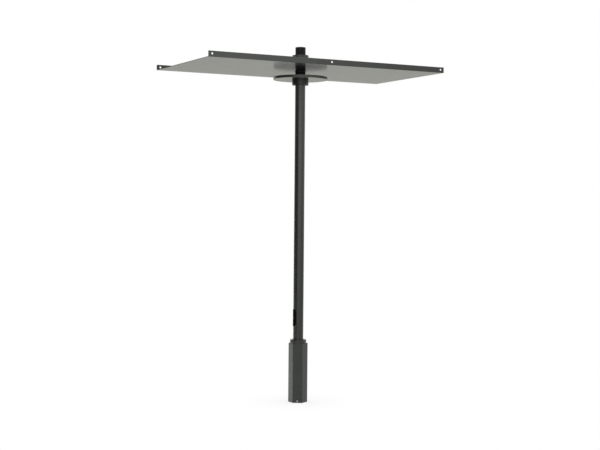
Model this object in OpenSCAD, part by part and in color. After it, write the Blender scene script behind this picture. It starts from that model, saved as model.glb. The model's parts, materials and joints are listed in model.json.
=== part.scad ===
// Street lamp post with a rectangular canopy and a round uplight that shines at the canopy's underside.
// Millimetres, +Z up. The origin is the middle of the base plate's bottom face, at ground level.
// X runs along the canopy's length, and the access door faces -X.

/* [Pole] */
// Outside diameter of the pole tube
pole_d = 80; // [72:1:90]
// Wall of the pole tube
pole_wall = 3; // [2:0.5:4]
// Height of the whole post above the ground, with the pole cap
post_h = 2775; // [2300:5:3200]
// Height of the pole cap above the tube
cap_h = 60; // [20:1:80]
// Wall of the pole cap's plug, and the web at its head
cap_wall = 4; // [3:0.5:8]
// Length of the pole cap's plug inside the tube
cap_plug_l = 22; // [12:1:40]

/* [Base] */
// Thickness of the base plate
plate_t = 25; // [22:1:30]
// Distance from an anchor hole's middle to the base plate's corner
anchor_inset = 14.28; // [13:0.01:16]
// Diameter of an anchor bolt hole
anchor_hole_d = 13.5; // [11:0.5:14]
// Leg of the weld between the pole and the base plate
weld_leg = 3; // [1:0.5:3]
// Width of the hexagonal sleeve across its flats
sleeve_af = 130; // [128:1:150]
// Sheet thickness of the sleeve
sleeve_wall = 3; // [2:0.5:4]
// Height of the sleeve with its top plate
sleeve_h = 463; // [400:1:520]
// Room around the base plate inside the sleeve
plate_room = 2; // [1:0.5:3]
// Thickness of the plate that closes the sleeve's top
sleeve_lid_t = 4; // [3:0.5:8]
// Depth of the sleeve cap's spigot inside the sleeve
spigot_h = 16; // [8:1:30]
// Wall of the sleeve cap's spigot
spigot_wall = 8; // [4:0.5:10]
// Height of the neck ring above the sleeve
neck_h = 28; // [24:1:40]
// How far the sleeve lifts for work on the anchor bolts
sleeve_lift = 80; // [20:5:150]
// Height of the sleeve screws above the ground
sleeve_screw_z = 15; // [12:0.5:16]
// Thread of the sleeve screws
sleeve_screw_d = 8; // [6:1:8]

/* [Collars] */
// Outside diameter of the neck ring and of the two hubs
collar_d = 128; // [118:1:128]
// Width of the rubber seal that closes a collar's top around the pole
seal_w = 6; // [3:0.5:8]
// Height of that seal
seal_h = 8; // [4:0.5:10]
// Thread of the set screws in the collars
set_screw_d = 8; // [5:1:10]

/* [Access door] */
// Width of the door, measured straight across
door_w = 47; // [42:1:50]
// Height of the door
door_h = 138; // [120:1:150]
// Gap between the door and the neck ring of the lifted sleeve
door_gap = 21; // [5:1:60]
// Thickness of the door's skin
door_t = 1.6; // [1:0.2:2.4]
// Overlap of the door on the pole around the opening
door_lap = 6.5; // [5:0.5:8]
// Thickness of the door's gasket
gasket_t = 0.8; // [0.6:0.2:1.6]
// Wall of the locating tongue behind the door
tongue_wall = 3; // [2:0.5:4]
// Room between the tongue and the edge of the opening
tongue_room = 1; // [0.8:0.1:1.5]
// Depth of the door's flat back behind the pole's face
door_back = 0.7; // [0.5:0.1:1]
// Diameter of the lock's spindle
spindle_d = 10; // [8:0.5:12]
// Diameter of the lock's head in the door
lock_head_d = 16; // [14:0.5:17]
// Thickness of the lock's head
lock_head_t = 3; // [2:0.5:4]
// Width of the latch bar
latch_w = 14; // [12:0.5:16]
// Thickness of the latch bar
latch_t = 4; // [3:0.5:4]
// How far the latch bar stands in from the pole's inner wall
latch_setback = 9; // [8:0.5:10]

/* [Gear inside the pole] */
// Thickness of the gear tray
tray_t = 3; // [2:0.5:4]
// Width of the gear tray
tray_w = 48; // [42:1:50]
// Distance from the gear tray's back to the pole's inner wall
tray_standoff = 16; // [14:0.5:17]
// Length of tray past the gear at each end
tray_end = 24; // [18:1:40]
// Depth of the fuse box
fuse_depth = 31; // [25:0.5:32]
// Width of the fuse box
fuse_w = 42; // [36:1:44]
// Height of the fuse box
fuse_h = 114; // [95:1:118]
// Depth of the lamp driver
driver_depth = 22; // [20:0.5:28]
// Width of the lamp driver
driver_w = 36; // [30:1:40]
// Height of the lamp driver
driver_h = 220; // [150:5:300]
// Free length of the lead from the fuse box to the lamp driver
lead_l = 33; // [25:1:60]
// Diameter of that lead
lead_d = 7; // [5:0.5:8]
// Diameter of the cable that rises to the lamp
riser_d = 6; // [5:0.5:6]
// Bend radius of that cable where it turns out to the lamp
riser_bend = 25; // [20:1:28]

/* [Lamp] */
// Diameter of the lamp dish
dish_d = 424; // [400:2:460]
// Height of the lamp dish
dish_h = 20.5; // [20:0.5:30]
// Thickness of the dish's floor
dish_floor_t = 4; // [3:0.5:5]
// Wall of the dish's rim
dish_rim_t = 5.8; // [3:0.2:8]
// Width of the ledge that carries the lens inside the rim
lens_ledge_w = 10; // [9:0.5:14]
// Wall of the dish's collar around the pole
dish_collar_t = 6; // [5:0.5:8]
// Gap between the dish and the canopy that it lights
lamp_gap = 44.5; // [30:0.5:80]
// Thickness of the lens
lens_t = 3; // [3:0.5:4]
// Thickness of the lens gaskets
lens_gasket_t = 1; // [0.5:0.5:1.5]
// Height of the lamp hub under the dish
lamp_hub_h = 42; // [36:1:60]
// Thickness of the LED board
board_t = 2; // [1:0.2:2.4]
// Room between the connector and the LED board
connector_room = 6; // [3:0.5:12]
// Room between the LED board and the lens ledge
board_room = 8; // [4:1:14]
// Side of one LED chip
chip_w = 3.5; // [2.8:0.1:5]
// Height of one LED chip
chip_h = 1.4; // [0.8:0.1:2]

/* [Canopy] */
// Length of the canopy
canopy_l = 2000; // [1600:10:2400]
// Width of the canopy
canopy_w = 1020; // [900:10:1200]
// Sheet thickness of the canopy
sheet_t = 3; // [2:0.5:4]
// Height of the folded flanges, measured outside
flange_h = 43; // [38:1:60]
// Outside radius of the flange's bend
bend_r = 5; // [4.5:0.5:8]
// How far the canopy's underside lies below the top of the post
canopy_drop = 188; // [165:1:220]
// Diameter of the holes in the flanges
edge_hole_d = 15; // [8:0.5:18]
// Distance from a flange's end to its end holes
edge_hole_inset = 30; // [20:1:60]
// Height of the flange holes above the underside
edge_hole_up = 23.5; // [18:0.5:26]
// Lip of the rubber trim around the pole hole
trim_lip = 4; // [3:0.5:6]
// Thickness of that lip
trim_lip_t = 1.5; // [1:0.5:2.5]
// Width of the rubber trim between the pole and the sheet
trim_w = 6; // [4:0.5:8]
// Distance of each cross channel from the pole's axis
channel_x = 120; // [115:1:130]
// Height of the cross channels
channel_h = 30; // [26:1:32]
// Width of a cross channel's crown
channel_crown = 50; // [42:1:56]
// Width of each foot of a cross channel
channel_foot = 20; // [18:1:26]
// Sheet thickness of the cross channels
channel_t = 2.5; // [2:0.5:3]
// Height of the canopy hub's top above the canopy's underside
hub_rise = 125.5; // [118:0.5:140]
// Thickness of the canopy hub's plate
hub_plate_t = 8; // [6:1:12]
// Size of the canopy hub's plate across the pole, along Y
hub_plate_w = 220; // [212:2:260]
// Height of the ribs on the canopy hub's plate
rib_h = 42; // [20:1:44]
// Thickness of those ribs
rib_t = 8; // [5:0.5:12]
// Distance of the hub bolts from the long centre line
hub_bolt_y = 85; // [80:1:92]

/* [Clearances] */
// Gap between pieces that move past each other
run_gap = 0.3; // [0.2:0.05:0.5]
// Gap around the pole where a collar is clamped to it
clamp_gap = 0.1; // [0.05:0.05:0.2]
// Gap between a fastener or a ring and its seat
seat_gap = 0.05; // [0.02:0.01:0.1]
// Gap around a bolt in a clearance hole
bolt_gap = 0.5; // [0.3:0.1:0.8]

/* [Hidden] */
$fn = 96;
cut = 1; // how far a cutting body runs past a face
bite = 1; // how far two bodies of one piece run into each other
paint = "#2a2c29";
black = "#17181a";
steel = "#b9bcc0";
grey = "#8d9298";

// Pole and base
pole_r = pole_d / 2;
tube_r = pole_r - pole_wall;
tube_top = post_h - cap_h;
plate_af = sleeve_af - 2 * (sleeve_wall + plate_room);
flat_angles = [0, 120, 240];
far_angles = [60, 180, 300];
anchor_n = 6;
anchor_r = plate_af / 2 / cos(30) - anchor_inset;
sleeve_r = sleeve_af / 2;
sleeve_inner_af = sleeve_af - 2 * sleeve_wall;
slot_w = sleeve_screw_d + 2 * bolt_gap;
sleeve_screw_end = pole_r + 5;
button_h = 0.55 * sleeve_screw_d;
button_r = 0.875 * sleeve_screw_d;

// Collars
collar_r = collar_d / 2;
neck_top = sleeve_h + neck_h;
neck_screw_z = sleeve_h + (neck_h - seal_h) / 2;
set_sunk = 1; // how far a set screw sits below the collar's outside
socket_share = 0.5; // a hex socket across flats, as a share of its thread
socket_depth = 3;

// Access door
door_z = neck_top + sleeve_lift + door_gap + door_h / 2;
open_w = door_w - 2 * door_lap;
open_h = door_h - 2 * door_lap;
gasket_r = pole_r + run_gap;
door_r = gasket_r + gasket_t + seat_gap;
door_face_r = door_r + door_t;
tongue_w = open_w - 2 * tongue_room;
tongue_h = open_h - 2 * tongue_room;
tongue_x = tube_r - 4;
door_back_x = pole_r - door_back;
lock_boss_r = lock_head_d / 2 + 2.5;
lock_seat_x = door_face_r - lock_head_t;
latch_x = tube_r - latch_setback;
latch_wall_gap = 1.7;
latch_l = 2 * (sqrt(pow(tube_r, 2) - pow(latch_x, 2)) - latch_wall_gap);
latch_nut_t = 5;
latch_nut_af = 1.6 * spindle_d;
spindle_end = latch_x - latch_t - latch_nut_t;
key_r = 4.6; // triangular key recess, centre to corner
key_depth = 2;

// Gear inside the pole
tray_back = tube_r - tray_standoff;
tray_front = tray_back - tray_t;
fuse_z = door_z - fuse_h / 2;
driver_z = fuse_z + fuse_h + lead_l;
gear_top = driver_z + driver_h;
tray_z = fuse_z - tray_end;
tray_top = gear_top + tray_end;
tray_screw_d = 6;
tray_screw_z = [tray_z + tray_end / 2, tray_top - tray_end / 2];
spacer_r = 7;
spacer_end = sqrt(pow(tube_r, 2) - pow(spacer_r, 2)) - seat_gap;
fuse_cap_r = 7;
fuse_cap_t = 3;
fuse_cap_y = fuse_w / 4;
fuse_cap_z = fuse_z + fuse_h - 2 * fuse_cap_r;
gland_r = 7;
gland_l = 10;
gland_bore_r = 4.2;
lead_x = tray_front - driver_depth / 2;
earth_d = 8;
earth_l = 16;
earth_y = fuse_w / 3;
earth_z = fuse_z + fuse_h + lead_l / 2;

// Heights of the canopy and the lamp, counted down from the top of the post
canopy_z = post_h - canopy_drop;
dish_top = canopy_z - lamp_gap;
dish_z = dish_top - dish_h;

// Lamp
dish_r = dish_d / 2;
dish_bore_r = pole_r + clamp_gap;
dish_collar_r = dish_bore_r + dish_collar_t;
floor_top = dish_z + dish_floor_t;
lens_z = dish_top - lens_t;
seat_z = lens_z - lens_gasket_t;
rim_r = dish_r - dish_rim_t;
ledge_r = rim_r - lens_ledge_w;
lens_r = rim_r - run_gap;
lens_bore_r = dish_bore_r + 0.8;
lens_screw_d = 4;
lens_screw_r = (ledge_r + rim_r) / 2;
lens_screw_n = 8;
lens_head_r = 3.6;
lens_head_t = 1.8;
lens_screw_l = 9;
riser_z = (floor_top + seat_z) / 2;
grommet_wall = 1;
riser_hole_r = riser_d / 2 + grommet_wall;
grommet_lip_r = riser_hole_r + 0.6;
grommet_lip_t = 1.5;
grommet_in = sqrt(pow(tube_r, 2) - pow(grommet_lip_r, 2)) - seat_gap;
connector_x = dish_collar_r + 12;
connector_l = 24;
connector_w = 16;
connector_h = riser_z - floor_top + 4;
dish_screw_d = 6;
dish_screw_n = 4;
dish_screw_r = (dish_collar_r + collar_r) / 2;
dish_screw_l = 18;
dish_head_r = 5;
dish_head_t = 3.5;
lamp_hub_z = dish_z - lamp_hub_h;
lamp_set_z = lamp_hub_z + 0.35 * lamp_hub_h;
board_r_in = connector_x + connector_l + connector_room;
board_r = ledge_r - board_room;
board_screw_d = 3;
board_screw_n = 6;
board_screw_r = (board_r_in + board_r) / 2;
board_head_r = 2.8;
board_head_t = 1.8;
chip_margin = 24;
chip_rings = [[board_r_in + chip_margin, 24], [board_r - chip_margin, 36]];

// Canopy
sheet_top = canopy_z + sheet_t;
flange_top = canopy_z + flange_h;
edge_hole_x = canopy_l / 2 - edge_hole_inset;
edge_hole_z = canopy_z + edge_hole_up;
trim_r_in = pole_r + run_gap;
panel_hole_r = trim_r_in + trim_w;
channel_end_room = 2;
channel_l = canopy_w - 2 * (bend_r + channel_end_room);
crown_z = sheet_top + channel_h;
stud_d = 6;
stud_l = 14;
stud_nut_t = 5;
stud_nut_af = 10;
stud_x = (channel_crown + channel_foot) / 2;
stud_end_inset = 60;
stud_ys = [-channel_l / 2 + stud_end_inset, -channel_l / 6, channel_l / 6, channel_l / 2 - stud_end_inset];
hub_bolt_d = 10;
hub_bolt_af = 16;
hub_bolt_head = 6.4;
hub_nut_t = 8;
hub_bolt_l = hub_plate_t + channel_t + hub_nut_t + 2;
hub_plate_margin = 20;
hub_plate_l = 2 * (channel_x + channel_crown / 2 + hub_plate_margin);
hub_plate_top = crown_z + hub_plate_t;
hub_top = canopy_z + hub_rise;
hub_set_z = (hub_plate_top + rib_h + hub_top - seal_h) / 2;
rib_r = hub_plate_w / 2 - 5;
rib_top_r = sqrt(pow(collar_r, 2) - pow(rib_t / 2, 2)) - bite;

// Ring on the Z axis
module ring(r_out, r_in, h) {
    difference() {
        cylinder(r = r_out, h = h);
        translate([0, 0, -cut]) cylinder(r = r_in, h = h + 2 * cut);
    }
}

// Hexagonal prism with flats that face 0, 60, 120 degrees and so on
module hexagon(af, h) {
    rotate([0, 0, 30]) cylinder(d = af / cos(30), h = h, $fn = 6);
}

// Upright outline with round ends
module oblong(w, h) {
    square([w, h - w], center = true);
    for (side = [-1, 1]) translate([0, side * (h - w) / 2]) circle(d = w);
}

// Turns its children about the pole
module around(angles) {
    for (a = angles) rotate([0, 0, a]) children();
}

// Points its children's +Z outwards, along +X from radius r at height z
module outward(r, z) {
    translate([r, 0, z]) rotate([0, 90, 0]) children();
}

// Points its children's +Z outwards through the door, along -X from distance r
module doorward(r) {
    translate([-r, 0, door_z]) rotate([0, -90, 0]) children();
}

// Upright oblong prism through the door's middle, from distance r_in to r_out on the -X side
module door_prism(w, h, r_in, r_out) {
    doorward(r_in) linear_extrude(r_out - r_in) rotate([0, 0, 90]) oblong(w, h);
}

// Set screw on the local Z axis with a hex socket in its outer end
module set_screw(d, l) {
    difference() {
        cylinder(d = d, h = l);
        translate([0, 0, l - socket_depth]) hexagon(socket_share * d, socket_depth + cut);
    }
}

// Headed screw: the shank runs down from z = 0 and the head sits above it
module headed_screw(d, l, head_r, head_t, socket_af) {
    difference() {
        union() {
            translate([0, 0, -l]) cylinder(d = d, h = l + head_t / 2);
            cylinder(r = head_r, h = head_t);
        }
        translate([0, 0, head_t / 2]) hexagon(socket_af, head_t);
    }
}

// Hex nut on the local Z axis
module nut(af, d, h) {
    difference() {
        hexagon(af, h);
        translate([0, 0, -cut]) cylinder(d = d + 2 * seat_gap, h = h + 2 * cut);
    }
}

// Three threaded holes for set screws through a collar at height z
module set_holes(z) {
    around(far_angles) outward(pole_r - pole_wall, z)
        cylinder(d = set_screw_d + 2 * seat_gap, h = collar_r);
}

// Three set screws in a collar at height z, with their points a gap away from the pole
module set_screws(z, gap) {
    around(far_angles) outward(pole_r + gap, z) set_screw(set_screw_d, collar_r - set_sunk - pole_r - gap);
}

// Rubber ring in the counterbore at a collar's top
module collar_seal(top) {
    translate([0, 0, top - seal_h]) ring(pole_r + run_gap + seal_w - seat_gap, pole_r + run_gap, seal_h);
}

// Counterbore for that ring
module seal_pocket(top) {
    translate([0, 0, top - seal_h]) cylinder(r = pole_r + run_gap + seal_w, h = seal_h + cut);
}

module pole_tube() {
    color(paint) difference() {
        ring(pole_r, tube_r, tube_top);
        door_prism(open_w, open_h, 0, pole_r + cut);
        for (z = tray_screw_z) outward(0, z) cylinder(d = tray_screw_d + 2 * bolt_gap, h = pole_r + cut);
        outward(0, riser_z) cylinder(r = riser_hole_r, h = pole_r + cut);
    }
}

module pole_cap() {
    plug_r = tube_r - clamp_gap;
    color(black) difference() {
        union() {
            translate([0, 0, tube_top]) cylinder(r = pole_r, h = cap_h);
            translate([0, 0, tube_top - cap_plug_l]) cylinder(r = plug_r, h = cap_plug_l + bite);
        }
        translate([0, 0, tube_top - cap_plug_l - cut])
            cylinder(r = plug_r - cap_wall, h = cap_plug_l - cap_wall + cut);
    }
}

module base_plate() {
    color(paint) difference() {
        union() {
            hexagon(plate_af, plate_t);
            rotate_extrude() polygon([
                [pole_r - bite, plate_t - bite], [pole_r + weld_leg, plate_t - bite],
                [pole_r + weld_leg, plate_t], [pole_r, plate_t + weld_leg],
                [pole_r - bite, plate_t + weld_leg],
            ]);
        }
        translate([0, 0, -cut]) cylinder(r = pole_r + clamp_gap, h = plate_t + weld_leg + 2 * cut);
        for (i = [0 : anchor_n - 1]) rotate([0, 0, (i + 0.5) * 360 / anchor_n])
            translate([anchor_r, 0, -cut]) cylinder(d = anchor_hole_d, h = plate_t + 2 * cut);
        around(flat_angles) outward(sleeve_screw_end, sleeve_screw_z)
            cylinder(d = sleeve_screw_d + 2 * seat_gap, h = plate_af);
    }
}

module sleeve_screws() {
    color(steel) around(flat_angles) outward(sleeve_r + run_gap, sleeve_screw_z)
        headed_screw(sleeve_screw_d, sleeve_r + run_gap - sleeve_screw_end, button_r, button_h,
            socket_share * sleeve_screw_d);
}

module gear_tray() {
    color(steel) difference() {
        translate([tray_front, -tray_w / 2, tray_z]) cube([tray_t, tray_w, tray_top - tray_z]);
        for (z = tray_screw_z) outward(0, z) cylinder(d = tray_screw_d + 2 * seat_gap, h = pole_r);
    }
}

module tray_spacers() {
    color(steel) for (z = tray_screw_z)
        outward(tray_back, z) ring(spacer_r, tray_screw_d / 2 + seat_gap, spacer_end - tray_back);
}

module tray_screws() {
    tray_nut_t = 5;
    tray_nut_af = 10;
    color(steel) for (z = tray_screw_z) {
        outward(pole_r + seat_gap, z)
            headed_screw(tray_screw_d, pole_r - tray_front + tray_nut_t, spacer_r - 1.5, 0.5 * tray_screw_d,
                socket_share * tray_screw_d);
        outward(tray_front - tray_nut_t, z) nut(tray_nut_af, tray_screw_d, tray_nut_t);
    }
}

module fuse_box() {
    color(grey) difference() {
        translate([tray_front - fuse_depth, -fuse_w / 2, fuse_z]) cube([fuse_depth, fuse_w, fuse_h]);
        for (side = [-1, 1]) translate([tray_front - fuse_depth / 2, side * fuse_cap_y, fuse_z - cut])
            cylinder(r = gland_bore_r, h = gland_l + cut);
    }
}

module fuse_caps() {
    cap_x = tray_front - fuse_depth - fuse_cap_t;
    color(black) for (side = [-1, 1]) translate([cap_x, side * fuse_cap_y, fuse_cap_z])
        rotate([0, 90, 0]) cylinder(r = fuse_cap_r, h = fuse_cap_t);
}

module supply_glands() {
    color(black) for (side = [-1, 1])
        translate([tray_front - fuse_depth / 2, side * fuse_cap_y, fuse_z - gland_l])
            nut(2 * gland_r, 2 * gland_bore_r, gland_l);
}

module driver_lead() {
    color(black) translate([lead_x, 0, fuse_z + fuse_h]) cylinder(d = lead_d, h = lead_l);
}

module led_driver() {
    color("#d7d9db") translate([tray_front - driver_depth, -driver_w / 2, driver_z])
        cube([driver_depth, driver_w, driver_h]);
}

module earth_stud() {
    earth_nut_af = 13;
    earth_nut_t = 6.5;
    color("#c2a04a") translate([tray_front, earth_y, earth_z]) rotate([0, -90, 0]) {
        cylinder(d = earth_d, h = earth_l);
        hexagon(earth_nut_af, earth_nut_t);
    }
}

module riser_cable() {
    color(black) {
        translate([0, 0, gear_top]) cylinder(d = riser_d, h = riser_z - riser_bend - gear_top);
        translate([riser_bend, 0, riser_z - riser_bend]) rotate([90, 0, 0]) rotate([0, 0, 90])
            rotate_extrude(angle = 90) translate([riser_bend, 0]) circle(d = riser_d);
        outward(riser_bend, riser_z) cylinder(d = riser_d, h = connector_x - riser_bend);
    }
}

module cable_grommet() {
    bore = riser_d / 2 + seat_gap;
    lip_in = grommet_in - grommet_lip_t;
    lip_out = dish_collar_r + seat_gap;
    color(black) {
        outward(lip_in, riser_z) ring(riser_hole_r - seat_gap, bore, lip_out + grommet_lip_t - lip_in);
        for (x = [lip_in, lip_out]) outward(x, riser_z) ring(grommet_lip_r, bore, grommet_lip_t);
    }
}

module lamp_hub() {
    color(black) difference() {
        translate([0, 0, lamp_hub_z]) ring(collar_r, pole_r + clamp_gap, lamp_hub_h);
        set_holes(lamp_set_z);
        for (i = [1 : dish_screw_n]) rotate([0, 0, (i + 0.5) * 360 / dish_screw_n])
            translate([dish_screw_r, 0, floor_top - dish_screw_l])
                cylinder(d = dish_screw_d + 2 * seat_gap, h = dish_screw_l);
    }
}

module lamp_set_screws() {
    color(steel) set_screws(lamp_set_z, clamp_gap);
}

module lamp_dish() {
    color(paint) difference() {
        rotate_extrude() polygon([
            [dish_bore_r, dish_z], [dish_r, dish_z], [dish_r, dish_top], [rim_r, dish_top],
            [rim_r, seat_z], [ledge_r, seat_z], [ledge_r, floor_top], [dish_collar_r, floor_top],
            [dish_collar_r, seat_z], [dish_bore_r, seat_z],
        ]);
        for (i = [1 : dish_screw_n]) rotate([0, 0, (i + 0.5) * 360 / dish_screw_n])
            translate([dish_screw_r, 0, dish_z - cut])
                cylinder(d = dish_screw_d + 2 * bolt_gap, h = dish_floor_t + 2 * cut);
        for (i = [1 : lens_screw_n]) rotate([0, 0, (i + 0.5) * 360 / lens_screw_n])
            translate([lens_screw_r, 0, dish_top - lens_screw_l])
                cylinder(d = lens_screw_d + 2 * seat_gap, h = lens_screw_l);
        for (i = [1 : board_screw_n]) rotate([0, 0, i * 360 / board_screw_n])
            translate([board_screw_r, 0, dish_z + dish_floor_t / 4])
                cylinder(d = board_screw_d + 2 * seat_gap, h = dish_floor_t);
        outward(0, riser_z) cylinder(r = riser_hole_r, h = dish_collar_r + cut);
    }
}

module dish_screws() {
    color(steel) for (i = [1 : dish_screw_n]) rotate([0, 0, (i + 0.5) * 360 / dish_screw_n])
        translate([dish_screw_r, 0, floor_top])
            headed_screw(dish_screw_d, dish_screw_l, dish_head_r, dish_head_t, socket_share * dish_screw_d);
}

module led_board() {
    color("#e9ebe8") difference() {
        translate([0, 0, floor_top]) ring(board_r, board_r_in, board_t);
        for (i = [1 : board_screw_n]) rotate([0, 0, i * 360 / board_screw_n])
            translate([board_screw_r, 0, floor_top - cut])
                cylinder(d = board_screw_d + 2 * bolt_gap, h = board_t + 2 * cut);
    }
}

module board_screws() {
    color(steel) for (i = [1 : board_screw_n]) rotate([0, 0, i * 360 / board_screw_n])
        translate([board_screw_r, 0, floor_top + board_t])
            headed_screw(board_screw_d, board_t + dish_floor_t / 2, board_head_r, board_head_t,
                socket_share * board_screw_d);
}

module led_chips() {
    color("#f4e27a") for (row = chip_rings) for (i = [1 : row[1]]) rotate([0, 0, (i + 0.5) * 360 / row[1]])
        translate([row[0] - chip_w / 2, -chip_w / 2, floor_top + board_t]) cube([chip_w, chip_w, chip_h]);
}

module led_connector() {
    color("#f2f2ee") translate([connector_x, -connector_w / 2, floor_top])
        cube([connector_l, connector_w, connector_h]);
}

module lens_gaskets() {
    color(black) translate([0, 0, seat_z]) {
        difference() {
            ring(lens_r, ledge_r, lens_gasket_t);
            for (i = [1 : lens_screw_n]) rotate([0, 0, (i + 0.5) * 360 / lens_screw_n])
                translate([lens_screw_r, 0, -cut])
                    cylinder(d = lens_screw_d + 2 * bolt_gap, h = lens_gasket_t + 2 * cut);
        }
        ring(dish_collar_r, lens_bore_r, lens_gasket_t);
    }
}

module lens_ring() {
    color("#eef1f0") difference() {
        translate([0, 0, lens_z]) ring(lens_r, lens_bore_r, lens_t);
        for (i = [1 : lens_screw_n]) rotate([0, 0, (i + 0.5) * 360 / lens_screw_n])
            translate([lens_screw_r, 0, 0]) {
                translate([0, 0, lens_z - cut])
                    cylinder(d = lens_screw_d + 2 * bolt_gap, h = lens_t + 2 * cut);
                translate([0, 0, dish_top - lens_head_t])
                    cylinder(r = lens_head_r + bolt_gap / 2, h = lens_head_t + cut);
            }
    }
}

module lens_screws() {
    color(steel) for (i = [1 : lens_screw_n]) rotate([0, 0, (i + 0.5) * 360 / lens_screw_n])
        translate([lens_screw_r, 0, dish_top - lens_head_t])
            headed_screw(lens_screw_d, lens_screw_l - lens_head_t, lens_head_r, lens_head_t,
                socket_share * lens_screw_d);
}

module base_sleeve() {
    color(paint) difference() {
        hexagon(sleeve_af, sleeve_h - sleeve_lid_t);
        translate([0, 0, -cut]) hexagon(sleeve_inner_af, sleeve_h - sleeve_lid_t + 2 * cut);
        around(flat_angles) outward(sleeve_r - 2 * sleeve_wall, sleeve_screw_z) {
            cylinder(d = slot_w, h = 3 * sleeve_wall);
            translate([0, -slot_w / 2, 0]) cube([sleeve_screw_z + cut, slot_w, 3 * sleeve_wall]);
        }
    }
}

module sleeve_cap() {
    spigot_af = sleeve_inner_af - 2 * run_gap;
    color(paint) difference() {
        union() {
            translate([0, 0, sleeve_h - sleeve_lid_t]) hexagon(sleeve_af, sleeve_lid_t);
            translate([0, 0, sleeve_h - sleeve_lid_t - spigot_h]) hexagon(spigot_af, spigot_h + bite);
            translate([0, 0, sleeve_h - bite]) cylinder(r = collar_r, h = neck_h + bite);
        }
        translate([0, 0, sleeve_h - sleeve_lid_t - spigot_h - cut])
            hexagon(spigot_af - 2 * spigot_wall, spigot_h + cut);
        translate([0, 0, sleeve_h - sleeve_lid_t - cut])
            cylinder(r = pole_r + run_gap, h = sleeve_lid_t + neck_h + 2 * cut);
        seal_pocket(neck_top);
        set_holes(neck_screw_z);
    }
}

module neck_seal() {
    color(black) collar_seal(neck_top);
}

module neck_set_screws() {
    color(steel) set_screws(neck_screw_z, run_gap);
}

// Upright channel outline with two round bottom corners
module channel_outline(w, h, r) {
    translate([-w / 2, r]) square([w, h - r]);
    translate([r - w / 2, 0]) square([w - 2 * r, h]);
    for (side = [-1, 1]) translate([side * (w / 2 - r), r]) circle(r = r);
}

module canopy_panel() {
    color(paint) difference() {
        translate([0, 0, canopy_z]) rotate([90, 0, 90]) linear_extrude(canopy_l, center = true)
            difference() {
                channel_outline(canopy_w, flange_h, bend_r);
                translate([0, sheet_t]) channel_outline(canopy_w - 2 * sheet_t, flange_h, bend_r - sheet_t);
            }
        translate([0, 0, canopy_z - cut]) cylinder(r = panel_hole_r, h = sheet_t + 2 * cut);
        for (x = [-edge_hole_x, 0, edge_hole_x]) translate([x, 0, edge_hole_z]) rotate([90, 0, 0])
            cylinder(d = edge_hole_d, h = canopy_w + 2 * cut, center = true);
    }
}

module hole_edge_trim() {
    lip_r = panel_hole_r + trim_lip;
    color(black) rotate_extrude() polygon([
        [trim_r_in, canopy_z - trim_lip_t], [lip_r, canopy_z - trim_lip_t], [lip_r, canopy_z],
        [panel_hole_r - seat_gap, canopy_z], [panel_hole_r - seat_gap, sheet_top], [lip_r, sheet_top],
        [lip_r, sheet_top + trim_lip_t], [trim_r_in, sheet_top + trim_lip_t],
    ]);
}

// Hat-shaped channel along Y, open at its bottom, at the given X
module cross_channel(x) {
    half = channel_crown / 2;
    foot = half + channel_foot;
    color(steel) difference() {
        translate([x, 0, sheet_top]) rotate([90, 0, 0]) linear_extrude(channel_l, center = true) polygon([
            [-foot, 0], [-half + channel_t, 0], [-half + channel_t, channel_h - channel_t],
            [half - channel_t, channel_h - channel_t], [half - channel_t, 0], [foot, 0], [foot, channel_t],
            [half, channel_t], [half, channel_h], [-half, channel_h], [-half, channel_t],
            [-foot, channel_t],
        ]);
        for (y = [-hub_bolt_y, hub_bolt_y]) translate([x, y, crown_z - channel_t - cut])
            cylinder(d = hub_bolt_d + 2 * bolt_gap, h = channel_t + 2 * cut);
        for (side = [-1, 1]) for (y = stud_ys) translate([x + side * stud_x, y, sheet_top - cut])
            cylinder(d = stud_d + 2 * bolt_gap, h = channel_t + 2 * cut);
    }
}

module cross_channel_left() {
    cross_channel(-channel_x);
}

module cross_channel_right() {
    cross_channel(channel_x);
}

// Puts its children on every stud of both cross channels
module at_studs() {
    for (x = [-channel_x, channel_x]) for (side = [-1, 1]) for (y = stud_ys)
        translate([x + side * stud_x, y, sheet_top]) children();
}

module channel_studs() {
    color(steel) at_studs() cylinder(d = stud_d, h = stud_l);
}

module channel_nuts() {
    color(steel) at_studs() translate([0, 0, channel_t]) nut(stud_nut_af, stud_d, stud_nut_t);
}

module hub_plate() {
    color(paint) difference() {
        translate([-hub_plate_l / 2, -hub_plate_w / 2, crown_z])
            cube([hub_plate_l, hub_plate_w, hub_plate_t]);
        translate([0, 0, crown_z - cut]) cylinder(r = pole_r + clamp_gap, h = hub_plate_t + 2 * cut);
        at_hub_bolts(crown_z - cut) cylinder(d = hub_bolt_d + 2 * bolt_gap, h = hub_plate_t + 2 * cut);
    }
}

module canopy_hub() {
    color(paint) difference() {
        union() {
            translate([0, 0, hub_plate_top]) cylinder(r = collar_r, h = hub_top - hub_plate_top);
            for (a = [0, 90, 180, 270]) rotate([90, 0, a]) translate([0, hub_plate_top, -rib_t / 2])
                linear_extrude(rib_t) polygon([
                    [pole_r + seal_w, 0], [rib_r, 0], [rib_top_r, rib_h], [pole_r + seal_w, rib_h],
                ]);
        }
        translate([0, 0, hub_plate_top - cut])
            cylinder(r = pole_r + clamp_gap, h = hub_top - hub_plate_top + 2 * cut);
        seal_pocket(hub_top);
        set_holes(hub_set_z);
    }
}

// Puts its children on the four hub bolts at height z
module at_hub_bolts(z) {
    for (x = [-channel_x, channel_x]) for (y = [-hub_bolt_y, hub_bolt_y]) translate([x, y, z]) children();
}

module hub_bolts() {
    color(steel) at_hub_bolts(hub_plate_top) {
        hexagon(hub_bolt_af, hub_bolt_head);
        translate([0, 0, -hub_bolt_l]) cylinder(d = hub_bolt_d, h = hub_bolt_l + hub_bolt_head / 2);
    }
}

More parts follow.
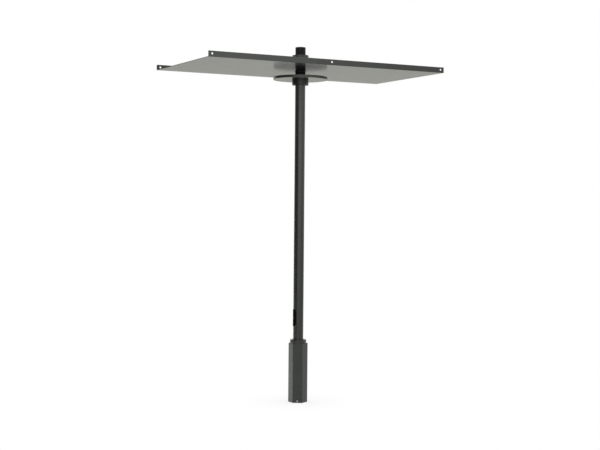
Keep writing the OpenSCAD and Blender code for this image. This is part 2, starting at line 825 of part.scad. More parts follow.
module hub_nuts() {
    color(steel) at_hub_bolts(crown_z - channel_t - hub_nut_t) nut(hub_bolt_af, hub_bolt_d, hub_nut_t);
}

module hub_seal() {
    color(black) collar_seal(hub_top);
}

module hub_set_screws() {
    color(steel) set_screws(hub_set_z, clamp_gap);
}

module access_door() {
    color(black) difference() {
        union() {
            intersection() {
                translate([0, 0, door_z - door_h]) ring(door_face_r, door_r, 2 * door_h);
                door_prism(door_w, door_h, 0, door_face_r + cut);
            }
            intersection() {
                translate([0, 0, door_z - door_h]) cylinder(r = door_r + door_t / 2, h = 2 * door_h);
                union() {
                    difference() {
                        door_prism(tongue_w, tongue_h, tongue_x, door_face_r);
                        door_prism(tongue_w - 2 * tongue_wall, tongue_h - 2 * tongue_wall, tongue_x - cut,
                            door_face_r + cut);
                    }
                    door_prism(tongue_w - tongue_wall, tongue_h - tongue_wall, door_back_x, door_face_r);
                    doorward(tongue_x) cylinder(r = lock_boss_r, h = door_face_r - tongue_x);
                }
            }
        }
        doorward(lock_seat_x) cylinder(d = lock_head_d + 2 * run_gap, h = lock_head_t + cut);
        doorward(tongue_x - cut)
            cylinder(d = spindle_d + 2 * clamp_gap, h = lock_seat_x - tongue_x + 2 * cut);
    }
}

module door_gasket() {
    color("#0c0c0c") intersection() {
        translate([0, 0, door_z - door_h]) ring(gasket_r + gasket_t, gasket_r, 2 * door_h);
        difference() {
            door_prism(door_w, door_h, 0, door_face_r);
            door_prism(open_w, open_h, -cut, door_face_r + cut);
        }
    }
}

module lock_spindle() {
    color(black) difference() {
        union() {
            doorward(spindle_end) cylinder(d = spindle_d, h = lock_seat_x + lock_head_t / 2 - spindle_end);
            doorward(lock_seat_x) cylinder(d = lock_head_d, h = lock_head_t);
        }
        doorward(door_face_r - key_depth) cylinder(r = key_r, h = key_depth + cut, $fn = 3);
    }
}

module latch_bar() {
    color(steel) difference() {
        translate([-latch_x, -latch_w / 2, door_z - latch_l / 2]) cube([latch_t, latch_w, latch_l]);
        doorward(latch_x - latch_t - cut) cylinder(d = spindle_d + 2 * seat_gap, h = latch_t + 2 * cut);
    }
}

module latch_nut() {
    color(steel) doorward(spindle_end) nut(latch_nut_af, spindle_d, latch_nut_t);
}

pole_tube();
pole_cap();
base_plate();
sleeve_screws();
gear_tray();
tray_spacers();
tray_screws();
fuse_box();
fuse_caps();
supply_glands();
driver_lead();
led_driver();
earth_stud();
riser_cable();
cable_grommet();
lamp_hub();
lamp_set_screws();
lamp_dish();
dish_screws();
led_board();
board_screws();
led_chips();
led_connector();
lens_gaskets();
lens_ring();
lens_screws();
base_sleeve();
sleeve_cap();
neck_seal();
neck_set_screws();
canopy_panel();
hole_edge_trim();
cross_channel_left();
cross_channel_right();
channel_studs();
channel_nuts();
hub_plate();
canopy_hub();
hub_bolts();
hub_nuts();
hub_seal();
hub_set_screws();
access_door();
door_gasket();
lock_spindle();
latch_bar();
latch_nut();
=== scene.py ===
# Street lamp post with a canopy and an uplight: finishes, small details, stage, light and camera
import json
import math
from types import SimpleNamespace as Sizes

import bmesh
import bpy
from mathutils import Matrix, Vector


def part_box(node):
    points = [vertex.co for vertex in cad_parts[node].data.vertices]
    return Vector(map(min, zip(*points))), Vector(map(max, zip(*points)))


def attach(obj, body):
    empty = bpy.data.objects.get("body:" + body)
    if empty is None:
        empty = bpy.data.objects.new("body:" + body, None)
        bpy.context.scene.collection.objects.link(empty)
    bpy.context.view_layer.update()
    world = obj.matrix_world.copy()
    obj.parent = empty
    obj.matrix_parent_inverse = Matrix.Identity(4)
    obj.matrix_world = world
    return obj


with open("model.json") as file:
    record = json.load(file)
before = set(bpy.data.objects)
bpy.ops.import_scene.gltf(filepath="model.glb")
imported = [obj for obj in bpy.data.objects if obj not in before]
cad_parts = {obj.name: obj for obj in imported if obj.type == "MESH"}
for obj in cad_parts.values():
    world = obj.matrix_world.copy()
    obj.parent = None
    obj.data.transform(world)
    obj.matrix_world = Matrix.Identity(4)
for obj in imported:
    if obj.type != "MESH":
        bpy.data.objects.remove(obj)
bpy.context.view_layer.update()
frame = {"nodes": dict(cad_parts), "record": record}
nodes = frame["nodes"]

MILLIMETRE = 0.001
UP = (0.0, 0.0, 1.0)
WHITE = (1.0, 1.0, 1.0, 1.0)

# Camera, fitted to the photograph's frame of 600 x 450
SENSOR = 36.0
LENS = 72.1
CAM_BEARING = math.radians(27.64)
CAM_DISTANCE = 9.415
CAM_SIDE = 0.0072
CAM_HEIGHT = 1.5404
CAM_PITCH = math.radians(-0.93)
CAM_ROLL = math.radians(0.48)
CAM_SIGHT = 200.0

# Floor: its size, its painted contact shadow, its matt colour, and its colours near and far in reflections
FLOOR_HALF = 60.0
PAINTED_SHADOW_DEPTH = 0.32
PAINTED_SHADOW_REACH = 0.45
PAINTED_SHADOW_SAMPLES = 16
FLOOR_MATT = (0.90, 0.90, 0.90, 1.0)
FLOOR_NEAR = (0.92, 0.925, 0.90, 1.0)
FLOOR_FAR = (0.635, 0.64, 0.585, 1.0)
FLOOR_FADE = (3.0, 14.0)

# Panels that only reflections see: their bearings in degrees, their heights, and their glow at foot and head
PANEL_DISTANCE = 2.8
PANELS = {
    "flag": {"angles": (128.0, 212.0), "heights": (0.12, 3.0), "glows": (0.0, 0.0)},
    "card": {"angles": (213.0, 285.0), "heights": (0.50, 2.5), "glows": (1.0, 1.8)},
}

# Soft light, which reflections don't see
WORLD_FILL = 0.08
LAMPS = {
    "key": {"place": (-1.135, -2.228, 2.45), "target": (0.0, 0.0, 3.2), "size": 1.0, "watts": 62.0},
    "top": {"place": (0.7, -0.95, 4.2), "target": (0.7, -0.60, 0.0), "size": 1.2, "watts": 30.0},
    "kick": {"place": (-0.95, 0.40, 0.25), "target": (0.0, 0.0, 0.22), "size": 0.4, "watts": 16.0},
    "back": {"place": (1.3, 2.5, 1.6), "target": (0.0, 0.0, 1.6), "size": 1.2, "watts": 70.0},
}


def add_camera():
    level_right = Vector((math.cos(CAM_BEARING), -math.sin(CAM_BEARING), 0.0))
    heading = Vector((math.sin(CAM_BEARING), math.cos(CAM_BEARING), 0.0))
    forward = heading * math.cos(CAM_PITCH) + Vector((0.0, 0.0, math.sin(CAM_PITCH)))
    level_up = level_right.cross(forward)
    right = level_right * math.cos(CAM_ROLL) + level_up * math.sin(CAM_ROLL)
    up = level_up * math.cos(CAM_ROLL) - level_right * math.sin(CAM_ROLL)
    place = level_right * CAM_SIDE - heading * CAM_DISTANCE + Vector((0.0, 0.0, CAM_HEIGHT))
    turn = Matrix((right, up, -forward)).transposed().to_4x4()
    data = bpy.data.cameras.new("photo_camera")
    data.sensor_width = SENSOR
    data.lens = LENS
    data.clip_end = CAM_SIGHT
    camera = bpy.data.objects.new("photo_camera", data)
    camera.matrix_world = Matrix.Translation(place) @ turn
    bpy.context.scene.collection.objects.link(camera)
    bpy.context.scene.camera = camera


# Node trees: a node with its settings, and its inputs set to values or linked to sockets
def put(tree, kind, inputs=(), prefix="ShaderNode", **settings):
    node = tree.nodes.new(prefix + kind)
    for name, value in settings.items():
        setattr(node, name, value)
    for key, value in dict(inputs).items():
        if isinstance(value, bpy.types.NodeSocket):
            tree.links.new(value, node.inputs[key])
        else:
            node.inputs[key].default_value = value
    return node


def calc(tree, operation, one, other):
    return put(tree, "Math", {0: one, 1: other}, operation=operation).outputs[0]


def mix_colors(tree, share, first, second):
    return put(tree, "Mix", {0: share, 6: first, 7: second}, data_type="RGBA").outputs[2]


def spread(tree, value, source, target=(0.0, 1.0)):
    ends = {"From Min": source[0], "From Max": source[1], "To Min": target[0], "To Max": target[1]}
    return put(tree, "MapRange", {"Value": value, **ends}).outputs[0]


def noise(tree, place, scale, detail):
    return put(tree, "TexNoise", {"Vector": place, "Scale": scale, "Detail": detail}).outputs["Fac"]


def own_place(tree):
    return put(tree, "TexCoord").outputs["Object"]


def new_tree(name):
    mat = bpy.data.materials.new(name)
    mat.use_nodes = True
    return mat, mat.node_tree


# Rays that should see the pale background: those of the camera, of gloss and of glass
def background_rays(tree):
    path = put(tree, "LightPath").outputs
    seen = calc(tree, "MAXIMUM", path["Is Camera Ray"], path["Is Glossy Ray"])
    return calc(tree, "MAXIMUM", seen, path["Is Transmission Ray"])


def stage_mesh(name, corners, mat):
    mesh = bpy.data.meshes.new(name)
    mesh.from_pydata(corners, [], [(0, 1, 2, 3)])
    mesh.materials.append(mat)
    obj = bpy.data.objects.new(name, mesh)
    bpy.context.scene.collection.objects.link(obj)
    return obj


# White glowing floor with a painted soft contact shadow, where an ambient-occlusion node darkens its glow
# near the object; in reflections it dims from its middle outwards
def add_floor():
    mat, tree = new_tree("pale_floor")
    tree.nodes.clear()
    # Painted shadow: the floor's glow is darkened wherever ambient occlusion finds the object close by, not
    # by the lamps
    painted_shadow_occlusion = put(tree, "AmbientOcclusion", {"Distance": PAINTED_SHADOW_REACH}, samples=PAINTED_SHADOW_SAMPLES)
    shade = spread(tree, painted_shadow_occlusion.outputs["AO"], (0.0, 1.0), (1.0 - PAINTED_SHADOW_DEPTH, 1.0))
    matt = put(tree, "BsdfDiffuse", {"Color": FLOOR_MATT})
    away = put(tree, "VectorMath", {0: own_place(tree)}, operation="LENGTH")
    fade = spread(tree, away.outputs["Value"], FLOOR_FADE)
    mirrored = mix_colors(tree, fade, FLOOR_NEAR, FLOOR_FAR)
    seen = put(tree, "LightPath").outputs["Is Camera Ray"]
    pale = mix_colors(tree, seen, mirrored, WHITE)
    glow = put(tree, "Emission", {"Color": pale, "Strength": shade})
    both = put(tree, "MixShader", {0: background_rays(tree), 1: matt.outputs[0], 2: glow.outputs[0]})
    put(tree, "OutputMaterial", {"Surface": both.outputs[0]})
    h = FLOOR_HALF
    stage_mesh("floor", [(-h, -h, 0.0), (h, -h, 0.0), (h, h, 0.0), (-h, h, 0.0)], mat)


# Upright panel between two bearings: a black flag, or a white card that glows
def add_panel(name, angles, heights, glows):
    mat, tree = new_tree(name)
    tree.nodes.clear()
    spot = put(tree, "SeparateXYZ", {0: own_place(tree)})
    fade = spread(tree, spot.outputs["Z"], heights, glows)
    shine = put(tree, "Emission", {"Color": WHITE, "Strength": fade})
    put(tree, "OutputMaterial", {"Surface": shine.outputs[0]})
    turns = [math.radians(a) for a in angles]
    one, other = ((PANEL_DISTANCE * math.cos(a), PANEL_DISTANCE * math.sin(a)) for a in turns)
    low, high = heights
    panel = stage_mesh(name, [(*one, low), (*other, low), (*other, high), (*one, high)], mat)
    panel.visible_camera = False
    panel.visible_diffuse = False
    panel.visible_shadow = False
    panel.visible_transmission = False


def set_world():
    world = bpy.data.worlds.new("studio")
    bpy.context.scene.world = world
    world.use_nodes = True
    tree = world.node_tree
    tree.nodes.clear()
    fill = put(tree, "Background", {"Color": WHITE, "Strength": WORLD_FILL})
    white = put(tree, "Background", {"Color": WHITE, "Strength": 1.0})
    both = put(tree, "MixShader", {0: background_rays(tree), 1: fill.outputs[0], 2: white.outputs[0]})
    put(tree, "OutputWorld", {"Surface": both.outputs[0]})


def add_area(name, place, target, size, watts):
    data = bpy.data.lights.new(name, "AREA")
    data.shape = "DISK"
    data.size = size
    data.energy = watts
    lamp = bpy.data.objects.new(name, data)
    lamp.location = place
    lamp.rotation_euler = (Vector(target) - Vector(place)).to_track_quat("-Z", "Y").to_euler()
    lamp.visible_camera = False
    lamp.visible_glossy = False
    bpy.context.scene.collection.objects.link(lamp)


# Worn edges: their width, the turn of the normal that counts as an edge, and the spots along it
WEAR_WIDTH = 0.0015
WEAR_SAMPLES = 4
WEAR_TURN = (0.98, 0.86)
WEAR_SCALE = 60.0
WEAR_SPOTS = (0.42, 0.66)

# The part of a noise's values that fills a finish's range, and how much finer gloss varies than colour
CLOUD_SPAN = (0.32, 0.68)
GLOSS_FINER = 2.7


# How far each point of a surface counts as a worn edge, from 0 to 1
def worn_edges(tree, place):
    soft = put(tree, "Bevel", {"Radius": WEAR_WIDTH}, samples=WEAR_SAMPLES)
    here = put(tree, "NewGeometry")
    same = put(tree, "VectorMath", {0: soft.outputs[0], 1: here.outputs["Normal"]}, operation="DOT_PRODUCT")
    edge = spread(tree, same.outputs["Value"], WEAR_TURN)
    return calc(tree, "MULTIPLY", edge, spread(tree, noise(tree, place, WEAR_SCALE, 5.0), WEAR_SPOTS))


# Finish of a solid: cloudy or crystalline colour, cloudy gloss, fine grain, and where given worn edges or
# another colour and roughness above a height
def finish(name, color, rough, vary=0.10, patch=5.0, crystals=False, rough_vary=0.05, grain=300.0,
           depth=0.00001, stretch=(1.0, 1.0, 1.0), wear=None, above=None, metallic=0.0, ior=1.5,
           specular=0.5, tint=(1.0, 1.0, 1.0), transmission=0.0):
    mat, tree = new_tree(name)
    bsdf = tree.nodes["Principled BSDF"]
    place = own_place(tree)
    drawn = put(tree, "Mapping", {"Vector": place, "Scale": stretch}).outputs[0]
    if crystals:
        cells = put(tree, "TexVoronoi", {"Vector": place, "Scale": patch})
        cloud = put(tree, "SeparateColor", {0: cells.outputs["Color"]}).outputs[0]
    else:
        cloud = noise(tree, place, patch, 4.0)
    ramp = put(tree, "ValToRGB", {"Fac": cloud})
    for stop, share in enumerate((1.0 - vary, 1.0 + vary)):
        ramp.color_ramp.elements[stop].position = CLOUD_SPAN[stop]
        ramp.color_ramp.elements[stop].color = (*(min(c * share, 1.0) for c in color), 1.0)
    shade = ramp.outputs["Color"]
    if wear:
        shade = mix_colors(tree, worn_edges(tree, place), shade, (*wear, 1.0))
    gloss = noise(tree, drawn, patch * GLOSS_FINER, 3.0)
    sheen = spread(tree, gloss, CLOUD_SPAN, (rough - rough_vary, rough + rough_vary))
    if above:
        limit, top_color, top_rough = above
        height = put(tree, "SeparateXYZ", {0: place}).outputs["Z"]
        over = calc(tree, "GREATER_THAN", height, limit)
        shade = mix_colors(tree, over, shade, (*top_color, 1.0))
        sheen = put(tree, "Mix", {0: over, 2: sheen, 3: top_rough}).outputs[0]
    fine = noise(tree, drawn, grain, 2.0)
    relief = put(tree, "Bump", {"Height": fine, "Strength": 1.0, "Distance": depth})
    tree.links.new(shade, bsdf.inputs["Base Color"])
    tree.links.new(sheen, bsdf.inputs["Roughness"])
    tree.links.new(relief.outputs[0], bsdf.inputs["Normal"])
    bsdf.inputs["Metallic"].default_value = metallic
    bsdf.inputs["IOR"].default_value = ior
    bsdf.inputs["Specular IOR Level"].default_value = specular
    bsdf.inputs["Specular Tint"].default_value = (*tint, 1.0)
    bsdf.inputs["Transmission Weight"].default_value = transmission
    return mat


# Finishes by material slot, and those of single nodes; the pole turns black inside the lamp hub
COAT = {"color": (0.0232, 0.0250, 0.0225), "rough": 0.20, "rough_vary": 0.012, "vary": 0.08,
        "grain": 1800.0, "depth": 0.000006, "wear": (0.07, 0.07, 0.068), "tint": (0.98, 1.0, 0.97)}
BLACK_COAT = (0.003, 0.003, 0.003)
BLACK_ROUGH = 0.9
BLACK_LAP = 0.02
BLACK_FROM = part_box("lamp_hub")[0].z + BLACK_LAP
MOULDED = {"grain": 1600.0, "depth": 0.00004}
FINISHES = {
    "painted_steel": COAT,
    "painted_aluminium": COAT,
    "two_tone": {**COAT, "above": (BLACK_FROM, BLACK_COAT, BLACK_ROUGH)},
    "smooth_trim": {**COAT, "wear": None},
    "black_aluminium": {"color": (0.010, 0.010, 0.010), "rough": 0.33, "rough_vary": 0.02,
                        "depth": 0.000004, "wear": (0.03, 0.03, 0.03), "ior": 1.4},
    "black_steel": {"color": (0.010, 0.010, 0.010), "rough": 0.38, "wear": (0.05, 0.05, 0.05)},
    "stainless": {"color": (0.55, 0.56, 0.57), "rough": 0.28, "metallic": 1.0, "patch": 60.0,
                  "grain": 2500.0, "depth": 0.00002, "stretch": (1.0, 1.0, 0.1)},
    "dull_stainless": {"color": (0.32, 0.325, 0.33), "rough": 0.42, "metallic": 1.0, "patch": 60.0,
                       "grain": 2500.0, "depth": 0.00002},
    "galvanised": {"color": (0.46, 0.48, 0.50), "rough": 0.42, "metallic": 1.0, "patch": 140.0,
                   "crystals": True, "vary": 0.14, "grain": 160.0, "depth": 0.00004},
    "black_plastic": {**MOULDED, "color": (0.008, 0.008, 0.008), "rough": 0.55, "specular": 0.15},
    "door_black": {**MOULDED, "color": (0.002, 0.002, 0.002), "rough": 0.75, "specular": 0.008},
    "black_rubber": {"color": (0.012, 0.012, 0.012), "rough": 0.80, "grain": 1200.0, "depth": 0.00006,
                     "specular": 0.2},
    "cable_sheath": {"color": (0.015, 0.015, 0.015), "rough": 0.60, "grain": 900.0, "depth": 0.00003,
                     "stretch": (1.0, 1.0, 0.08), "specular": 0.3},
    "grey_plastic": {**MOULDED, "color": (0.33, 0.35, 0.37), "rough": 0.50, "vary": 0.05},
    "white_plastic": {**MOULDED, "color": (0.75, 0.76, 0.76), "rough": 0.45, "vary": 0.04},
    "brass": {"color": (0.62, 0.47, 0.18), "rough": 0.30, "metallic": 1.0, "patch": 80.0,
              "grain": 2500.0, "depth": 0.00002, "stretch": (0.1, 1.0, 1.0)},
    "board_white": {"color": (0.80, 0.82, 0.80), "rough": 0.40, "vary": 0.03, "patch": 40.0},
    "tinned_copper": {"color": (0.62, 0.60, 0.54), "rough": 0.35, "metallic": 1.0, "patch": 70.0,
                      "grain": 900.0},
    "led_phosphor": {"color": (0.85, 0.70, 0.22), "rough": 0.22, "patch": 300.0, "grain": 2000.0},
    "clear_lens": {"color": (0.92, 0.94, 0.94), "rough": 0.05, "rough_vary": 0.02, "vary": 0.01,
                   "depth": 0.000001, "transmission": 1.0},
}
NODE_FINISH = {"access_door": "door_black", "pole_tube": "two_tone", "sleeve_screws": "dull_stainless",
               "hole_edge_trim": "smooth_trim"}

# Rounding of the nodes' outer edges, in millimetres: its width, and the length that an edge must exceed
ROUNDING = {
    "pole_cap": (1.5,), "lamp_hub": (1.2, 1.5), "lamp_dish": (0.8, 1.0), "canopy_hub": (1.2, 1.5),
    "hub_plate": (0.8, 1.6), "canopy_panel": (0.4, 1.2), "base_sleeve": (1.2,), "sleeve_cap": (0.4, 0.9),
    "base_plate": (0.8, 2.0), "access_door": (0.15, 2.0), "cross_channel_left": (0.4, 1.2),
    "cross_channel_right": (0.4, 1.2), "hub_bolts": (0.5,), "hub_nuts": (0.5, 1.0),
    "channel_nuts": (0.4, 0.5), "sleeve_screws": (0.4,), "fuse_box": (1.5, 1.8), "fuse_caps": (0.8,),
    "led_driver": (2.0,), "led_connector": (0.8,), "gear_tray": (0.5, 0.6), "latch_bar": (0.6, 0.8),
    "latch_nut": (0.5, 0.6), "lock_spindle": (0.3,), "lens_ring": (0.5, 0.6), "neck_seal": (1.0,),
    "hub_seal": (1.0,), "hole_edge_trim": (0.5,), "earth_stud": (0.5,), "supply_glands": (0.5, 0.6),
    "dish_screws": (0.4,), "lens_screws": (0.3,), "board_screws": (0.3,), "led_chips": (0.2,),
}
SAME_POINT = 1e-6
SHARP = math.radians(35.0)
FLAT = math.radians(0.3)
ROUND_STEPS = 2


# Shading that is smooth except at sharp edges, and a bevel weight on each outer edge that is long enough
def edge_group():
    group = bpy.data.node_groups.new("rounded_edges", "GeometryNodeTree")
    group.interface.new_socket("Geometry", in_out="INPUT", socket_type="NodeSocketGeometry")
    group.interface.new_socket("Shortest", in_out="INPUT", socket_type="NodeSocketFloat")
    group.interface.new_socket("Geometry", in_out="OUTPUT", socket_type="NodeSocketGeometry")

    def shape(kind, inputs=(), **settings):
        return put(group, kind, inputs, "GeometryNode", **settings)

    start = put(group, "GroupInput", prefix="Node").outputs
    drop = shape("RemoveAttribute", {"Geometry": start["Geometry"], "Name": "custom_normal"})
    smooth = shape("SetShadeSmooth", {"Geometry": drop.outputs[0]})
    ends = shape("InputMeshEdgeVertices").outputs
    length = put(group, "VectorMath", {0: ends["Position 1"], 1: ends["Position 2"]}, operation="DISTANCE")
    fold = shape("InputMeshEdgeAngle").outputs
    sharp = calc(group, "GREATER_THAN", fold["Unsigned Angle"], SHARP)
    outer = calc(group, "GREATER_THAN", fold["Signed Angle"], SHARP)
    enough = calc(group, "GREATER_THAN", length.outputs["Value"], start["Shortest"])
    taken = calc(group, "MULTIPLY", outer, enough)
    left = calc(group, "GREATER_THAN", sharp, taken)
    hard = shape("SetShadeSmooth", {"Geometry": smooth.outputs[0], "Selection": left,
                                    "Shade Smooth": False}, domain="EDGE")
    weigh = shape("StoreNamedAttribute", {"Geometry": hard.outputs[0], "Name": "bevel_weight_edge",
                                          "Value": taken}, data_type="FLOAT", domain="EDGE")
    put(group, "GroupOutput", {"Geometry": weigh.outputs[0]}, prefix="Node")
    return group


def round_edges(obj, group, width, shortest=0.0):
    weld = obj.modifiers.new("weld", "WELD")
    weld.merge_threshold = SAME_POINT
    flat = obj.modifiers.new("flat", "DECIMATE")
    flat.decimate_type = "DISSOLVE"
    flat.angle_limit = FLAT
    weigh = obj.modifiers.new("weigh", "NODES")
    weigh.node_group = group
    weigh[group.interface.items_tree["Shortest"].identifier] = shortest * MILLIMETRE
    bevel = obj.modifiers.new("bevel", "BEVEL")
    bevel.limit_method = "WEIGHT"
    bevel.width = width * MILLIMETRE
    bevel.segments = ROUND_STEPS
    bevel.use_clamp_overlap = False
    obj.modifiers.new("weighted", "WEIGHTED_NORMAL").keep_sharp = True


# Small details
def new_piece(name, bm, body, slot, look=None):
    mesh = bpy.data.meshes.new(name)
    bmesh.ops.recalc_face_normals(bm, faces=bm.faces)
    bm.to_mesh(mesh)
    bm.free()
    mesh.shade_smooth()
    mesh.set_sharp_from_angle(angle=SHARP)
    mesh.materials.append(materials[look or slot])
    piece = bpy.data.objects.new(name, mesh)
    bpy.context.scene.collection.objects.link(piece)
    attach(piece, body)


def add_block(bm, low, high, rounding):
    size = Vector(high) - Vector(low)
    middle = (Vector(high) + Vector(low)) / 2
    stretch = Matrix.Translation(middle) @ Matrix.Diagonal((*size, 1.0))
    made = bmesh.ops.create_cube(bm, size=1.0, matrix=stretch)
    edges = list({e for v in made["verts"] for e in v.link_edges})
    bmesh.ops.bevel(bm, geom=edges, offset=rounding, segments=ROUND_STEPS, profile=0.5, affect="EDGES")


# Places on a circle, as pairs of cosine and sine
def around(count):
    turns = [2.0 * math.pi * i / count for i in range(count)]
    return [(math.cos(a), math.sin(a)) for a in turns]


# Ring from a closed outline of (radius, height), about an axis through a place
def add_ring(bm, outline, place=(0.0, 0.0, 0.0), axis=UP, sides=32):
    turn = Vector(UP).rotation_difference(Vector(axis)).to_matrix().to_4x4()
    move = Matrix.Translation(place) @ turn
    rows = [[bm.verts.new(move @ Vector((r * c, r * s, h))) for r, h in outline] for c, s in around(sides)]
    for i in range(sides):
        near, far = rows[i], rows[(i + 1) % sides]
        for k in range(len(outline)):
            n = (k + 1) % len(outline)
            bm.faces.new((near[k], far[k], far[n], near[n]))


# Round cord of weld or wire along points, with ripples where asked: a closed loop, or tapered at both ends
def add_bead(bm, points, radius, across, closed=False, ripple=0.0, sides=8, taper=0.5):
    rows = []
    count = len(points)
    for i, point in enumerate(points):
        ahead = points[(i + 1) % count] if closed else points[min(i + 1, count - 1)]
        behind = points[i - 1] if closed else points[max(i - 1, 0)]
        along = (ahead - behind).normalized()
        side = along.cross(Vector(across)).normalized()
        up = side.cross(along)
        r = radius * (1.0 + ripple * math.cos(math.pi * i))
        if not closed and i in (0, count - 1):
            r *= taper
        rows.append([bm.verts.new(point + (side * c + up * s) * r) for c, s in around(sides)])
    for i in range(count if closed else count - 1):
        near, far = rows[i], rows[(i + 1) % count]
        for k in range(sides):
            n = (k + 1) % sides
            bm.faces.new((near[k], near[n], far[n], far[k]))
    if not closed:
        bm.faces.new(rows[0])
        bm.faces.new(rows[-1][::-1])


def line(start, end, step):
    start, end = Vector(start), Vector(end)
    count = max(2, round((end - start).length / step))
    return [start.lerp(end, i / count) for i in range(count + 1)]


def circle(radius, height, step):
    count = 2 * round(math.pi * radius / step)
    return [Vector((radius * c, radius * s, height)) for c, s in around(count)]


# Welds: the bead, the canopy hub's collar and ribs, and the pole's foot on the base plate
BEAD = 0.003
RIB_BEAD = BEAD * 0.8
BEAD_STEP = 0.0018
RIPPLE = 0.09
COLLAR_R = 0.064
RIB_HALF = 0.004
RIB_END = 0.103
RIB_RISE = 0.040
FOOT_R = 0.0405
PLATE_TOP = 0.025


# Weld beads around the canopy hub's collar and along its four ribs, and around the pole's foot
def add_welds():
    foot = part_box("canopy_hub")[0].z
    hub = bmesh.new()
    add_bead(hub, circle(COLLAR_R, foot, BEAD_STEP), BEAD, UP, closed=True, ripple=RIPPLE)
    start = math.sqrt(COLLAR_R ** 2 - RIB_HALF ** 2)
    for quarter in range(4):
        spin = Matrix.Rotation(quarter * math.pi / 2, 3, "Z")
        for side in (-RIB_HALF, RIB_HALF):
            corner = (start, side, foot)
            along = [spin @ p for p in line(corner, (RIB_END, side, foot), BEAD_STEP)]
            rise = [spin @ p for p in line(corner, (start, side, foot + RIB_RISE), BEAD_STEP)]
            add_bead(hub, along, RIB_BEAD, UP, ripple=RIPPLE)
            add_bead(hub, rise, RIB_BEAD, spin @ Vector((0, 1, 0)), ripple=RIPPLE)
    new_piece("hub_welds", hub, "canopy", "painted_aluminium")
    pole = bmesh.new()
    add_bead(pole, circle(FOOT_R, PLATE_TOP, BEAD_STEP), BEAD, UP, closed=True, ripple=RIPPLE)
    new_piece("foot_weld", pole, "post", "painted_steel")


# Lamp: rows of chips as (radius, count), their domes, and the tracks to both sides of each row
CHIP_ROWS = ((0.1121, 24), (0.1642, 36))
DOME_R = 0.0015
TRACK = Sizes(width=0.0028, thick=0.0001, aside=0.0045, sides=128)

# The connector's two ways, and each one's wire as (distance out, height), first above the connector's foot
# and then above the board; the screws' heads as an outline of (radius, height), their place and their sink
WAYS = (-0.004, 0.004)
WIRE_R = 0.0010
WIRE_LEAVES = ((-0.002, 0.0065), (0.002, 0.0065), (0.006, 0.0053))
WIRE_LANDS = ((0.009, 0.0014), (0.012, 0.0008))
WAY_SCREW = Sizes(head=((0.0007, 0.0), (0.0021, 0.0), (0.0021, 0.0006), (0.0017, 0.0010), (0.0007, 0.0010)),
                  inward=0.008, sink=0.0001, sides=20)


# Domes on the LED chips, the board's copper tracks, and the connector's wires and screws
def add_lamp_details():
    low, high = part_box("led_chips")
    domes = bmesh.new()
    for radius, count in CHIP_ROWS:
        for i in range(count):
            a = math.radians((i + 0.5) * 360.0 / count)
            spot = Matrix.Translation((radius * math.cos(a), radius * math.sin(a), high.z))
            bmesh.ops.create_icosphere(domes, subdivisions=2, radius=DOME_R, matrix=spot)
    new_piece("led_domes", domes, "post", "led_phosphor")
    board_top = low.z
    track_top = board_top + TRACK.thick
    tracks = bmesh.new()
    for radius, _ in CHIP_ROWS:
        for aside in (-TRACK.aside, TRACK.aside):
            inner, outer = radius + aside - TRACK.width / 2, radius + aside + TRACK.width / 2
            outline = [(inner, board_top), (outer, board_top), (outer, track_top), (inner, track_top)]
            add_ring(tracks, outline, sides=TRACK.sides)
    new_piece("board_tracks", tracks, "post", "board_white", "tinned_copper")
    block_low, block_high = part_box("led_connector")
    wires = bmesh.new()
    screws = bmesh.new()
    for y in WAYS:
        path = [(out, block_low.z + rise) for out, rise in WIRE_LEAVES]
        path += [(out, board_top + rise) for out, rise in WIRE_LANDS]
        add_bead(wires, [Vector((block_high.x + out, y, z)) for out, z in path], WIRE_R, (0, 1, 0))
        seat = (block_low.x + WAY_SCREW.inward, y, block_high.z - WAY_SCREW.sink)
        add_ring(screws, WAY_SCREW.head, seat, sides=WAY_SCREW.sides)
    new_piece("board_wires", wires, "post", "cable_sheath")
    new_piece("connector_screws", screws, "post", "stainless")


# Gear behind the door, whose faces look along -x: how far each detail stands proud of its face and sinks into
# it, how far it keeps from the sides and ends, and its rounding
LID = Sizes(proud=0.0009, sink=0.001, side=0.003, foot=0.005, head=0.004, rounding=0.0006)
LID_RIB = Sizes(count=5, proud=0.0017, root=0.0005, side=0.010, first=0.026, pitch=0.006, tall=0.0025,
                rounding=0.0004)
LID_SCREW = Sizes(head=((0.0012, 0.0), (0.0032, 0.0), (0.0032, 0.0008), (0.0026, 0.0014), (0.0012, 0.0014)),
                  proud=0.0008, end=0.010, sides=24)
GRIP = Sizes(proud=0.0008, sink=0.001, side=0.007, half_width=0.0012, half_height=0.0045, rounding=0.0004)
GLAND_DOME = Sizes(outline=((0.0043, 0.0), (0.0066, 0.0), (0.0066, -0.0015), (0.0062, -0.0030),
                            (0.0052, -0.0040), (0.0043, -0.0043)), aside=0.0105, lap=0.0005, sides=28)
DRIVER_RIB = Sizes(count=5, proud=0.0012, sink=0.001, first=0.006, pitch=0.006, half_width=0.0010, end=0.020,
                   rounding=0.0004)
DRIVER_CAP = Sizes(proud=0.0010, short=0.0005, end=0.002, tall=0.012, rounding=0.0008)


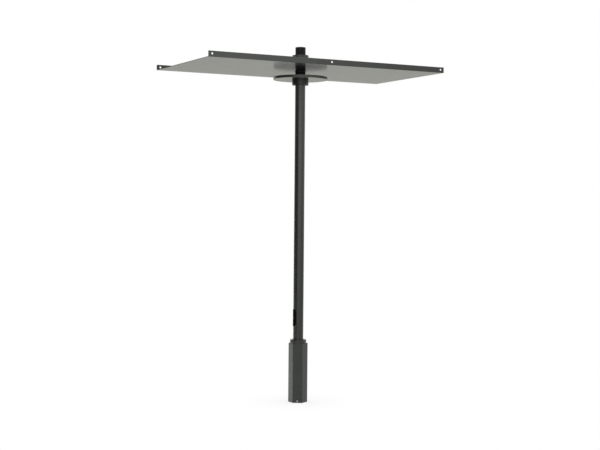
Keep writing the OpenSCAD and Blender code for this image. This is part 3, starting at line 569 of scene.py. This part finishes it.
# Lid with ribs and screws on the fuse box, grips on its caps and domed nuts under its glands
def add_fuse_details():
    low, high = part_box("fuse_box")
    caps_low, caps_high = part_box("fuse_caps")
    face = low.x
    lid_low, lid_high = low.z + LID.foot, caps_low.z - LID.head
    lid = bmesh.new()
    add_block(lid, (face - LID.proud, low.y + LID.side, lid_low),
              (face + LID.sink, high.y - LID.side, lid_high), LID.rounding)
    for k in range(LID_RIB.count):
        z = lid_low + LID_RIB.first + LID_RIB.pitch * k
        add_block(lid, (face - LID_RIB.proud, low.y + LID_RIB.side, z),
                  (face - LID_RIB.root, high.y - LID_RIB.side, z + LID_RIB.tall), LID_RIB.rounding)
    new_piece("fuse_lid", lid, "post", "grey_plastic")
    screws = bmesh.new()
    for z in (lid_low + LID_SCREW.end, lid_high - LID_SCREW.end):
        add_ring(screws, LID_SCREW.head, (face - LID_SCREW.proud, 0.0, z), (-1, 0, 0), LID_SCREW.sides)
    new_piece("fuse_lid_screws", screws, "post", "stainless")
    grips = bmesh.new()
    middle = (caps_low.z + caps_high.z) / 2
    for y in (caps_low.y + GRIP.side, caps_high.y - GRIP.side):
        add_block(grips, (caps_low.x - GRIP.proud, y - GRIP.half_width, middle - GRIP.half_height),
                  (caps_low.x + GRIP.sink, y + GRIP.half_width, middle + GRIP.half_height), GRIP.rounding)
    new_piece("fuse_cap_grips", grips, "post", "black_plastic")
    gland_low, gland_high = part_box("supply_glands")
    domes = bmesh.new()
    for y in (-GLAND_DOME.aside, GLAND_DOME.aside):
        seat = ((gland_low.x + gland_high.x) / 2, y, gland_low.z + GLAND_DOME.lap)
        add_ring(domes, GLAND_DOME.outline, seat, sides=GLAND_DOME.sides)
    new_piece("gland_domes", domes, "post", "black_plastic")


# Ribs and end caps on the LED driver
def add_driver_details():
    low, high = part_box("led_driver")
    rib, cap = DRIVER_RIB, DRIVER_CAP
    ribs = bmesh.new()
    for k in range(rib.count):
        y = low.y + rib.first + rib.pitch * k
        add_block(ribs, (low.x - rib.proud, y - rib.half_width, low.z + rib.end),
                  (low.x + rib.sink, y + rib.half_width, high.z - rib.end), rib.rounding)
    for z in (low.z + cap.end, high.z - cap.end - cap.tall):
        add_block(ribs, (low.x - cap.proud, low.y - cap.proud, z),
                  (high.x - cap.short, high.y + cap.proud, z + cap.tall), cap.rounding)
    new_piece("driver_ribs", ribs, "post", "white_plastic")


add_camera()
add_floor()
for name, panel in PANELS.items():
    add_panel(name, **panel)
set_world()
for name, lamp in LAMPS.items():
    add_area(name, **lamp)

materials = {name: finish(name, **look) for name, look in FINISHES.items()}
for row in frame["record"]["subparts"]:
    mesh = nodes[row["node"]].data
    mesh.materials.clear()
    mesh.materials.append(materials[NODE_FINISH.get(row["node"], row["material_slot"])])

rounded_edges = edge_group()
for name, sizes in ROUNDING.items():
    round_edges(nodes[name], rounded_edges, *sizes)
add_welds()
add_lamp_details()
add_fuse_details()
add_driver_details()

bpy.context.scene.view_settings.view_transform = "Standard"
